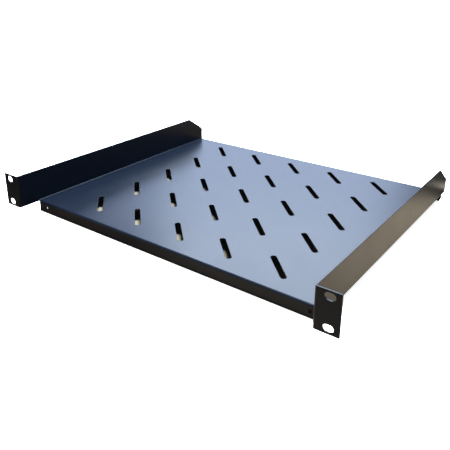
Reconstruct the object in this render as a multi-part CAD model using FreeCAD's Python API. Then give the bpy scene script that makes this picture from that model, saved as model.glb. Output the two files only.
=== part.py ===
"""Cantilever shelf for a 19-inch rack, one rack unit high, folded from one sheet of steel.

The sheet is a slotted deck with a wall turned up along each side, an ear turned
outward from the front of each wall, and a flange turned down along the front and
the rear of the deck. The ears are screwed to the front posts of the rack, and the
shelf stands free behind them.

Millimetres. X runs to the right, Y runs back into the rack and Z is up. The origin
is the centre of the four ear slots, on the plane where the ears seat on the posts.
"""
import FreeCAD, Part
import math
import os

# Panel, to the 19-inch rack standard
rack_width = 482.6
panel_height = 43.7
rack_hole_side_distance = 8.75
rack_hole_end_distance = 5.975
rack_screw_diameter = 6.0
rack_screw_clearance = 0.2

# Folded sheet
sheet = 1.5
bend_inner_radius = 1.0
ear_width = 24.8
shelf_depth = 390.0
deck_setback = 29.5
flange_drop = 15.0
relief_width = 0.8
relief_beyond_bend = 1.0

# Cut-off upper corner at the rear of each wall
wall_corner_run = 35.0
wall_corner_drop = 23.0

# Cut-off lower corners of the rear flange
flange_corner_run = 2.0
flange_corner_rise = 5.0

# Oblong slots for the rack screws, two in each ear
ear_slot_length = 11.0
ear_slot_height = 8.0

# Diagonal ventilation slots in the deck
vent_length = 49.0
vent_width = 7.0
vent_angle = -45.0
vent_pitch = 69.0
vent_side_margin = 45.0
vent_end_margin = 15.0

# Small round holes in the front flange, one near each end
flange_hole_diameter = 4.0
flange_hole_inset = 15.0

# Places worked out from the sizes above
bend_outer_radius = bend_inner_radius + sheet
body_half_width = rack_width / 2 - ear_width
wall_inner_face = body_half_width - sheet
ear_front = -sheet
deck_front = ear_front + deck_setback
deck_rear = ear_front + shelf_depth
shelf_bottom = -panel_height / 2
deck_top = shelf_bottom + sheet
bend_side = body_half_width - bend_outer_radius
flange_half_width = bend_side - relief_width
relief_depth = bend_outer_radius + relief_beyond_bend
deck_middle = (deck_front + deck_rear) / 2
rack_hole_x = rack_width / 2 - rack_hole_side_distance
rack_hole_z = panel_height / 2 - rack_hole_end_distance
ear_slot_outer_end = rack_hole_x + rack_screw_diameter / 2 + rack_screw_clearance
ear_slot_x = ear_slot_outer_end - ear_slot_length / 2


def vector(x, y, z):
    return FreeCAD.Vector(x, y, z)


def prism(corners, direction):
    """Solid with a straight-sided outline, pushed along a direction."""
    outline = Part.makePolygon(corners + corners[:1])
    return Part.Face(outline).extrude(direction)


def angle_fold(along, across, place, direction):
    """Sheet folded once at a right angle, as a solid.

    The outline is drawn from the sharp outer corner of the fold. One leg runs along
    the first axis and the other along the second, and place turns the two drawing
    distances into a point of the shelf. The outline is pushed along the direction.
    """
    inner = bend_inner_radius
    outer = bend_outer_radius
    diagonal = math.sqrt(0.5)
    inner_middle = outer - inner * diagonal
    outer_middle = outer - outer * diagonal
    edges = [
        Part.LineSegment(place(outer, 0), place(along, 0)),
        Part.LineSegment(place(along, 0), place(along, sheet)),
        Part.LineSegment(place(along, sheet), place(outer, sheet)),
        Part.Arc(place(outer, sheet), place(inner_middle, inner_middle), place(sheet, outer)),
        Part.LineSegment(place(sheet, outer), place(sheet, across)),
        Part.LineSegment(place(sheet, across), place(0, across)),
        Part.LineSegment(place(0, across), place(0, outer)),
        Part.Arc(place(0, outer), place(outer_middle, outer_middle), place(outer, 0)),
    ]
    outline = Part.Wire([edge.toShape() for edge in edges])
    return Part.Face(outline).extrude(direction)


def oblong(length, width, place, direction):
    """Round-ended cutter centred on the drawing's origin and long on its first axis."""
    end = (length - width) / 2
    half = width / 2
    edges = [
        Part.LineSegment(place(-end, -half), place(end, -half)),
        Part.Arc(place(end, -half), place(end + half, 0), place(end, half)),
        Part.LineSegment(place(end, half), place(-end, half)),
        Part.Arc(place(-end, half), place(-end - half, 0), place(-end, -half)),
    ]
    outline = Part.Wire([edge.toShape() for edge in edges])
    return Part.Face(outline).extrude(direction)


def side_fold(side):
    """Half of the deck with the wall that turns up from it; side is -1 or 1."""
    def place(along, across):
        return vector(side * (body_half_width - along), deck_front, shelf_bottom + across)
    return angle_fold(body_half_width, panel_height, place, vector(0, deck_rear - deck_front, 0))


def ear_fold(side):
    """Ear with the stretch of wall that stands forward of the deck."""
    def place(along, across):
        return vector(side * (wall_inner_face + along), ear_front + across, shelf_bottom)
    return angle_fold(ear_width + sheet, deck_setback, place, vector(0, 0, panel_height))


def deck_flange(edge, inward):
    """Flange turned down from the deck; inward points from its face to the deck."""
    def place(along, across):
        return vector(-flange_half_width, edge + inward * along, deck_top - across)
    return angle_fold(relief_depth, flange_drop, place, vector(2 * flange_half_width, 0, 0))


def flange_room(edge, inward):
    """Space taken out of the deck for a flange, with the bend reliefs at its ends."""
    corners = [
        vector(-bend_side, edge, shelf_bottom),
        vector(bend_side, edge, shelf_bottom),
        vector(bend_side, edge + inward * relief_depth, shelf_bottom),
        vector(-bend_side, edge + inward * relief_depth, shelf_bottom),
    ]
    return prism(corners, vector(0, 0, sheet))


def folded_sheet():
    """Deck, walls, ears and flanges before any hole is cut."""
    deck = side_fold(-1).fuse(side_fold(1))
    for edge, inward in ((deck_front, 1), (deck_rear, -1)):
        deck = deck.cut(flange_room(edge, inward))
        deck = deck.fuse(deck_flange(edge, inward))
    return deck.fuse([ear_fold(-1), ear_fold(1)])


def wall_corner_cutters():
    """Wedge that takes the upper rear corner off each wall."""
    top = panel_height / 2
    cutters = []
    for side in (-1, 1):
        corners = [
            vector(side * wall_inner_face, deck_rear, top),
            vector(side * wall_inner_face, deck_rear - wall_corner_run, top),
            vector(side * wall_inner_face, deck_rear, top - wall_corner_drop),
        ]
        cutters.append(prism(corners, vector(side * sheet, 0, 0)))
    return cutters


def flange_corner_cutters():
    """Wedge that takes the lower corner off each end of the rear flange."""
    bottom = deck_top - flange_drop
    cutters = []
    for side in (-1, 1):
        corners = [
            vector(side * flange_half_width, deck_rear, bottom),
            vector(side * (flange_half_width - flange_corner_run), deck_rear, bottom),
            vector(side * flange_half_width, deck_rear, bottom + flange_corner_rise),
        ]
        cutters.append(prism(corners, vector(0, -sheet, 0)))
    return cutters


def ear_slot_cutters():
    """Four horizontal slots whose outer ends take screws at the standard spacing."""
    cutters = []
    for side in (-1, 1):
        for level in (-1, 1):
            def place(along, across):
                return vector(side * ear_slot_x + along, ear_front, level * rack_hole_z + across)
            cutters.append(oblong(ear_slot_length, ear_slot_height, place, vector(0, sheet, 0)))
    return cutters


def copies_that_fit(room, margin, reach):
    """Number of vents at their pitch that leave the margin clear at both ends."""
    return max(1, int((room - 2 * margin - reach) / vent_pitch) + 1)


def vent_cutters():
    """Diagonal slots on a square grid, centred on the deck."""
    cosine = math.cos(math.radians(vent_angle))
    sine = math.sin(math.radians(vent_angle))
    straight = vent_length - vent_width
    columns = copies_that_fit(2 * bend_side, vent_side_margin, straight * abs(cosine) + vent_width)
    rows = copies_that_fit(deck_rear - deck_front, vent_end_margin, straight * abs(sine) + vent_width)
    cutters = []
    for column in range(columns):
        for row in range(rows):
            centre_x = (column - (columns - 1) / 2) * vent_pitch
            centre_y = deck_middle + (row - (rows - 1) / 2) * vent_pitch

            def place(along, across):
                x = centre_x + along * cosine - across * sine
                y = centre_y + along * sine + across * cosine
                return vector(x, y, shelf_bottom)
            cutters.append(oblong(vent_length, vent_width, place, vector(0, 0, sheet)))
    return cutters


def flange_hole_cutters():
    """Round hole near each end of the front flange, at half its height."""
    cutters = []
    for side in (-1, 1):
        centre = vector(side * (flange_half_width - flange_hole_inset), deck_front, deck_top - flange_drop / 2)
        cutters.append(Part.makeCylinder(flange_hole_diameter / 2, sheet, centre, vector(0, 1, 0)))
    return cutters


def rack_shelf():
    """The finished shelf as one solid."""
    cutters = wall_corner_cutters()
    cutters += flange_corner_cutters()
    cutters += ear_slot_cutters()
    cutters += vent_cutters()
    cutters += flange_hole_cutters()
    return folded_sheet().cut(cutters).removeSplitter()


os.makedirs("parts", exist_ok=True)
rack_shelf().exportStep("parts/folded_shelf.step")
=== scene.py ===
"""Finish, floor, light and camera for the cantilever rack shelf.

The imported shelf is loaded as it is. This script gives it its powder-coated finish
and sets it in a pale studio, seen from the photograph's angle. Lengths are metres
and angles are degrees, with X to the right, Y to the back and Z up.
"""
import math

import bpy
from mathutils import Euler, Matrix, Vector


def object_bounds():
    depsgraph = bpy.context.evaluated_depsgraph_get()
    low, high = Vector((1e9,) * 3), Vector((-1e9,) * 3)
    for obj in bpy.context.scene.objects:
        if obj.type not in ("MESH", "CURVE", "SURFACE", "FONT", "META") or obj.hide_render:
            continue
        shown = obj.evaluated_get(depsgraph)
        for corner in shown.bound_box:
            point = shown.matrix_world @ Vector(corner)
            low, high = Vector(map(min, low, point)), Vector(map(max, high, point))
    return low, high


# Camera, solved from the photograph's edges and vents
camera_place = Vector((0.39914, -0.38753, 0.28138))
camera_turn = (70.283, 0.327, 37.697)
camera_lens = 44.868
camera_sensor = 36.0
camera_shift = (0.0392, -0.1333)
camera_nearest = 0.01
camera_farthest = 100.0

# Colour of the coat: almost black, with a faint cloudiness and paler specks
coat_colour = (0.0028, 0.0056, 0.0125)
cloud_colour = (0.0038, 0.0070, 0.0145)
cloud_size = 0.030
speck_colour = (0.0060, 0.0090, 0.0170)
speck_size = 0.0011
speck_start = 0.55
speck_full = 0.75
speck_share = 0.5

# Gloss of the coat: satin, a little uneven
coat_specular = 0.30
lowest_roughness = 0.285
highest_roughness = 0.315
gloss_patch_size = 0.045
speck_roughness = 0.012

# Relief: softened edges, long waves of the sheet and the coat's fine orange peel
edge_radius = 0.00075
edge_samples = 6
wave_size = 0.090
wave_height = 0.00035
peel_size = 0.0016
peel_height = 0.000006

# Values between which most of a noise lies
noise_low = 0.3
noise_high = 0.7

# Floor: glowing outside the deck's outline, which lifts the shelf's cast shadow there (painted light);
# darker under the deck, a bench tone with painted shade that shows through the vents
floor_half_size = 30.0
floor_colour = (0.92, 0.86, 0.79)
floor_glow = 0.9
under_deck_bench_and_shade_colour = (0.21, 0.185, 0.135)
dull_half_width = 0.204
dull_front = 0.028
dull_rear = 0.3925
dull_edge = 0.004

# Bench just under the floor, darker in front, in the middle and at the left: painted shade that stands in
# for uneven light on the bench that the steel mirrors
bench_below_floor = 0.0002
bench_colour = (0.35, 0.265, 0.175)
bench_middle_shade_colour = (0.088, 0.063, 0.041)
bench_left_shade_colour = (0.028, 0.021, 0.015)
bench_front_fade = (-0.05, 0.15)
bench_front_share = 0.8
bench_middle_fade = (-0.05, 0.24)
bench_left_fade = (-0.32, -0.18)

# Round spots on the bench, each full inside its first radius and gone outside its second
dark_spot_colour = (0.030, 0.023, 0.016)
large_dark_spot = (0.275, 0.500, -0.036)
large_dark_radii = (0.070, 0.165)
small_dark_spot = (0.220, 0.427, -0.036)
small_dark_radii = (0.015, 0.036)
pale_spot_colour = (0.50, 0.40, 0.29)
pale_spot = (0.234, 0.451, -0.036)
pale_radii = (0.004, 0.018)

# Softboxes, all behind the shelf and aimed at about the middle of its deck
softbox_aim = Vector((0.0, 0.20, -0.02))
softbox_distance = 2.5

# Power that gives each square metre of a softbox a radiance of one
power_per_radiance = 4.0

# Overhead light
overhead_strength = 11.0
overhead_colour = (0.85, 0.93, 1.0)
overhead_width = 22.0
overhead_elevation = 78.0
overhead_left_of_back = 5.0

# White wall all round
backdrop_distance = 12.0
backdrop_height = 20.0
backdrop_below_floor = 0.5
backdrop_sides = 96

# Dim room, paler where a direction points to the front and not far up
room_colour = (0.86, 0.93, 1.0)
room_strength = 0.05
front_strength = 0.60
front_fade = (0.45, -0.15)
height_fade = (0.75, 0.35)


def socket(node, name):
    """Input of a node by its name, also where the node hides others of the same name."""
    return next(s for s in node.inputs if s.name == name and s.enabled)


class Shader:
    """Shorthand for building the nodes of a material or of the world.

    The last node is the one that the others feed: the surface or the background.
    """

    def __init__(self, owner, last_node):
        owner.use_nodes = True
        self.owner = owner
        self.tree = owner.node_tree
        self.last = self.tree.nodes[last_node]

    def node(self, kind, **settings):
        node = self.tree.nodes.new(kind)
        for name, value in settings.items():
            setattr(node, name, value)
        return node

    def link(self, source, target):
        self.tree.links.new(source, target)

    def set(self, name, value):
        """Give an input of the last node a constant value."""
        self.last.inputs[name].default_value = value

    def feed(self, name, source):
        """Link an input of the last node to another node's output."""
        self.link(source, self.last.inputs[name])

    def place(self):
        """Point on the object in metres."""
        return self.node("ShaderNodeTexCoord").outputs["Object"]

    def parts(self, vector):
        """The X, Y and Z outputs of a vector."""
        node = self.node("ShaderNodeSeparateXYZ")
        self.link(vector, node.inputs["Vector"])
        return node.outputs

    def noise(self, size, detail=2.0):
        """Noise whose spots are about the given size in metres, from 0 to 1."""
        node = self.node("ShaderNodeTexNoise")
        self.link(self.place(), node.inputs["Vector"])
        node.inputs["Scale"].default_value = 1.0 / size
        node.inputs["Detail"].default_value = detail
        return node.outputs["Fac"]

    def remap(self, value, low, high, to_low, to_high):
        """Value carried from one range to another, and kept inside it."""
        node = self.node("ShaderNodeMapRange")
        self.link(value, node.inputs["Value"])
        node.inputs["From Min"].default_value = low
        node.inputs["From Max"].default_value = high
        node.inputs["To Min"].default_value = to_low
        node.inputs["To Max"].default_value = to_high
        return node.outputs["Result"]

    def combine(self, operation, first, second=0.0):
        """One math step; either value may be a plain number."""
        node = self.node("ShaderNodeMath", operation=operation)
        for value, target in ((first, node.inputs[0]), (second, node.inputs[1])):
            if isinstance(value, (int, float)):
                target.default_value = value
            else:
                self.link(value, target)
        return node.outputs["Value"]

    def outside(self, value, low, high):
        """How far a value lies outside a range; inside the range it is negative."""
        from_middle = self.combine("SUBTRACT", value, (low + high) / 2)
        return self.combine("SUBTRACT", self.combine("ABSOLUTE", from_middle), (high - low) / 2)

    def mix(self, factor, first, second):
        """Colour between two colours, which may be plain or from nodes."""
        node = self.node("ShaderNodeMix", data_type="RGBA")
        self.link(factor, socket(node, "Factor"))
        for value, name in ((first, "A"), (second, "B")):
            if isinstance(value, tuple):
                socket(node, name).default_value = (*value, 1.0)
            else:
                self.link(value, socket(node, name))
        return next(s for s in node.outputs if s.enabled)

    def spot(self, below, centre, radii, colour):
        """Round spot of a colour, full inside the first radius and gone outside the second."""
        away = self.node("ShaderNodeVectorMath", operation="DISTANCE")
        self.link(self.place(), away.inputs[0])
        away.inputs[1].default_value = centre
        return self.mix(self.remap(away.outputs["Value"], *radii, 1.0, 0.0), below, colour)

    def bump(self, height, distance, below):
        """Relief of a height in metres, on top of another relief."""
        node = self.node("ShaderNodeBump")
        self.link(height, node.inputs["Height"])
        node.inputs["Distance"].default_value = distance
        self.link(below, node.inputs["Normal"])
        return node.outputs["Normal"]


def surface_shader(name):
    return Shader(bpy.data.materials.new(name), "Principled BSDF")


def matt_shader(name):
    """Surface with no sheen."""
    shader = surface_shader(name)
    shader.set("Roughness", 1.0)
    shader.set("Specular IOR Level", 0.0)
    return shader


def powder_coat():
    """Satin powder coat, almost black: fine orange peel over slight waves of the sheet."""
    shader = surface_shader("powder_coated_steel")
    grain = shader.noise(speck_size)

    # Colour
    specks = shader.remap(grain, speck_start, speck_full, 0.0, speck_share)
    clouded = shader.mix(shader.noise(cloud_size, detail=3.0), coat_colour, cloud_colour)
    shader.feed("Base Color", shader.mix(specks, clouded, speck_colour))

    # Gloss
    patches = shader.noise(gloss_patch_size, detail=4.0)
    patchy = shader.remap(patches, noise_low, noise_high, lowest_roughness, highest_roughness)
    grainy = shader.remap(grain, noise_low, noise_high, -speck_roughness, speck_roughness)
    shader.feed("Roughness", shader.combine("ADD", patchy, grainy))
    shader.set("Specular IOR Level", coat_specular)

    # Relief
    rounded = shader.node("ShaderNodeBevel", samples=edge_samples)
    rounded.inputs["Radius"].default_value = edge_radius
    waves = shader.bump(shader.noise(wave_size, detail=1.0), wave_height, rounded.outputs["Normal"])
    shader.feed("Normal", shader.bump(shader.noise(peel_size), peel_height, waves))
    return shader.owner


def floor_finish():
    """Pale floor that glows outside the deck's outline, lifting the shelf's cast shadow there (painted
    light), with a darker patch under the deck, a bench tone with painted shade, that shows through the
    vents.
    """
    shader = matt_shader("pale_floor")
    place = shader.parts(shader.place())
    beside = shader.outside(place["X"], -dull_half_width, dull_half_width)
    beyond = shader.outside(place["Y"], dull_front, dull_rear)
    # Painted light and shade: the floor glows outside the deck's outline, which lifts the shelf's cast
    # shadow, and keeps a darker tone under the deck where shade falls.
    pale = shader.remap(shader.combine("MAXIMUM", beside, beyond), -dull_edge, 0.0, 0.0, 1.0)
    shader.feed("Base Color", shader.mix(pale, under_deck_bench_and_shade_colour, floor_colour))
    shader.feed("Emission Strength", shader.combine("MULTIPLY", pale, floor_glow))
    shader.set("Emission Color", (1.0, 1.0, 1.0, 1.0))
    return shader.owner


def bench_finish():
    """Warm bench, darker in front, in the middle and at the left as painted shade, and spots behind the
    shelf's right rear corner.
    """
    shader = matt_shader("warm_bench")
    place = shader.parts(shader.place())
    # Painted shade: the bench darkens towards the front, the middle and the left, standing in for light
    # that falls off across it.
    front = shader.remap(place["Y"], *bench_front_fade, bench_front_share, 0.0)
    middle = shader.remap(place["X"], *bench_middle_fade, 1.0, 0.0)
    left = shader.remap(place["X"], *bench_left_fade, 1.0, 0.0)
    colour = shader.mix(shader.combine("MAXIMUM", front, middle), bench_colour, bench_middle_shade_colour)
    colour = shader.mix(left, colour, bench_left_shade_colour)
    colour = shader.spot(colour, large_dark_spot, large_dark_radii, dark_spot_colour)
    colour = shader.spot(colour, small_dark_spot, small_dark_radii, dark_spot_colour)
    colour = shader.spot(colour, pale_spot, pale_radii, pale_spot_colour)
    shader.feed("Base Color", colour)
    return shader.owner


def backdrop_finish():
    """Plain white glow."""
    shader = matt_shader("white_backdrop")
    shader.set("Base Color", (0.0, 0.0, 0.0, 1.0))
    shader.set("Emission Color", (1.0, 1.0, 1.0, 1.0))
    shader.set("Emission Strength", 1.0)
    return shader.owner


def add_object(name, data):
    """Object that shows a mesh, a light or a camera in the scene."""
    added = bpy.data.objects.new(name, data)
    bpy.context.scene.collection.objects.link(added)
    return added


def hide_from_bounces(surface):
    """Let the camera alone see a surface, so that it neither lights nor shades the shelf."""
    surface.visible_diffuse = False
    surface.visible_glossy = False
    surface.visible_shadow = False


def add_level_sheet(name, height, finish):
    mesh = bpy.data.meshes.new(name)
    half = floor_half_size
    corners = [(-half, -half, height), (half, -half, height), (half, half, height), (-half, half, height)]
    mesh.from_pydata(corners, [], [(0, 1, 2, 3)])
    mesh.materials.append(finish)
    sheet = add_object(name, mesh)
    return sheet


def add_floor(height):
    """Pale floor, and under it the warm bench that the steel mirrors instead."""
    floor = add_level_sheet("floor", height, floor_finish())
    hide_from_bounces(floor)
    bench = add_level_sheet("bench", height - bench_below_floor, bench_finish())
    bench.visible_camera = False


def direction(left_of_back, elevation):
    """Unit vector towards a light, from two angles."""
    turn = math.radians(left_of_back)
    rise = math.radians(elevation)
    return Vector((-math.sin(turn) * math.cos(rise), math.cos(turn) * math.cos(rise), math.sin(rise)))


def facing(towards):
    """Turn of a light that shines from a direction."""
    return towards.to_track_quat("Z", "Y").to_euler()


def add_softbox(name, left_of_back, elevation, size, radiance):
    """Rectangular light, placed by its direction from the deck and not seen by the camera."""
    data = bpy.data.lights.new(name, "AREA")
    data.shape = "RECTANGLE"
    data.size, data.size_y = size
    strongest = max(radiance)
    data.color = tuple(channel / strongest for channel in radiance)
    data.energy = strongest * power_per_radiance * size[0] * size[1]
    light = add_object(name, data)
    towards = direction(left_of_back, elevation)
    light.location = softbox_aim + towards * softbox_distance
    light.rotation_euler = facing(towards)
    light.visible_camera = False


def add_overhead():
    """Wide, soft light from nearly straight above."""
    data = bpy.data.lights.new("overhead", "SUN")
    data.color = overhead_colour
    data.energy = overhead_strength
    data.angle = math.radians(overhead_width)
    light = add_object("overhead", data)
    light.rotation_euler = facing(direction(overhead_left_of_back, overhead_elevation))


def add_backdrop(floor_height):
    """White wall all round, far off, for views that look past the floor."""
    sides = backdrop_sides
    turns = [2.0 * math.pi * side / sides for side in range(sides)]
    ring = [Vector((math.sin(turn), math.cos(turn), 0.0)) * backdrop_distance for turn in turns]
    low = [point + Vector((0.0, 0.0, floor_height - backdrop_below_floor)) for point in ring]
    high = [point + Vector((0.0, 0.0, backdrop_height)) for point in ring]
    faces = [(side, (side + 1) % sides, sides + (side + 1) % sides, sides + side) for side in range(sides)]
    mesh = bpy.data.meshes.new("backdrop")
    mesh.from_pydata(low + high, [], faces)
    mesh.materials.append(backdrop_finish())
    backdrop = add_object("backdrop", mesh)
    hide_from_bounces(backdrop)


def add_room():
    """Dim room, paler in front of the shelf and beside it, up to half height."""
    world = bpy.data.worlds.new("room")
    shader = Shader(world, "Background")
    towards = shader.parts(shader.node("ShaderNodeTexCoord").outputs["Generated"])
    in_front = shader.remap(towards["Y"], *front_fade, 0.0, 1.0)
    below_top = shader.remap(towards["Z"], *height_fade, 0.0, 1.0)
    paler = shader.combine("MULTIPLY", shader.combine("MULTIPLY", in_front, below_top), front_strength)
    shader.feed("Strength", shader.combine("ADD", paler, room_strength))
    shader.set("Color", (*room_colour, 1.0))
    bpy.context.scene.world = world


def add_camera():
    data = bpy.data.cameras.new("camera")
    data.sensor_width = camera_sensor
    data.lens = camera_lens
    data.shift_x, data.shift_y = camera_shift
    data.clip_start = camera_nearest
    data.clip_end = camera_farthest
    camera = add_object("camera", data)
    camera.location = camera_place
    camera.rotation_euler = Euler([math.radians(angle) for angle in camera_turn], "XYZ")
    bpy.context.scene.camera = camera


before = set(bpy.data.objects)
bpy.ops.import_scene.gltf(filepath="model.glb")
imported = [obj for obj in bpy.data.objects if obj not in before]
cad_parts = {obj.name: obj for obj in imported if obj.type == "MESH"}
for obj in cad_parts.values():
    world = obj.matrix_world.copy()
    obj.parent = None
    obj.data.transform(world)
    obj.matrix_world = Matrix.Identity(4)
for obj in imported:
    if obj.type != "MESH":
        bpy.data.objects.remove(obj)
cad_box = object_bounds()

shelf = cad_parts["folded_shelf"]
coat = powder_coat()
for material_slot in shelf.material_slots:
    material_slot.material = coat

shelf_bottom = cad_box[0].z
add_floor(shelf_bottom)
add_softbox("lower_window", left_of_back=34.0, elevation=18.5, size=(1.95, 0.70), radiance=(1.7, 2.1, 3.0))
add_softbox("upper_window", left_of_back=29.0, elevation=38.0, size=(1.30, 0.95), radiance=(6.3, 7.4, 9.0))
add_softbox("ceiling", left_of_back=-12.0, elevation=53.0, size=(1.5, 0.9), radiance=(6.8, 8.8, 12.0))
add_overhead()
add_backdrop(shelf_bottom)
add_room()
add_camera()
bpy.context.scene.view_settings.view_transform = "Standard"
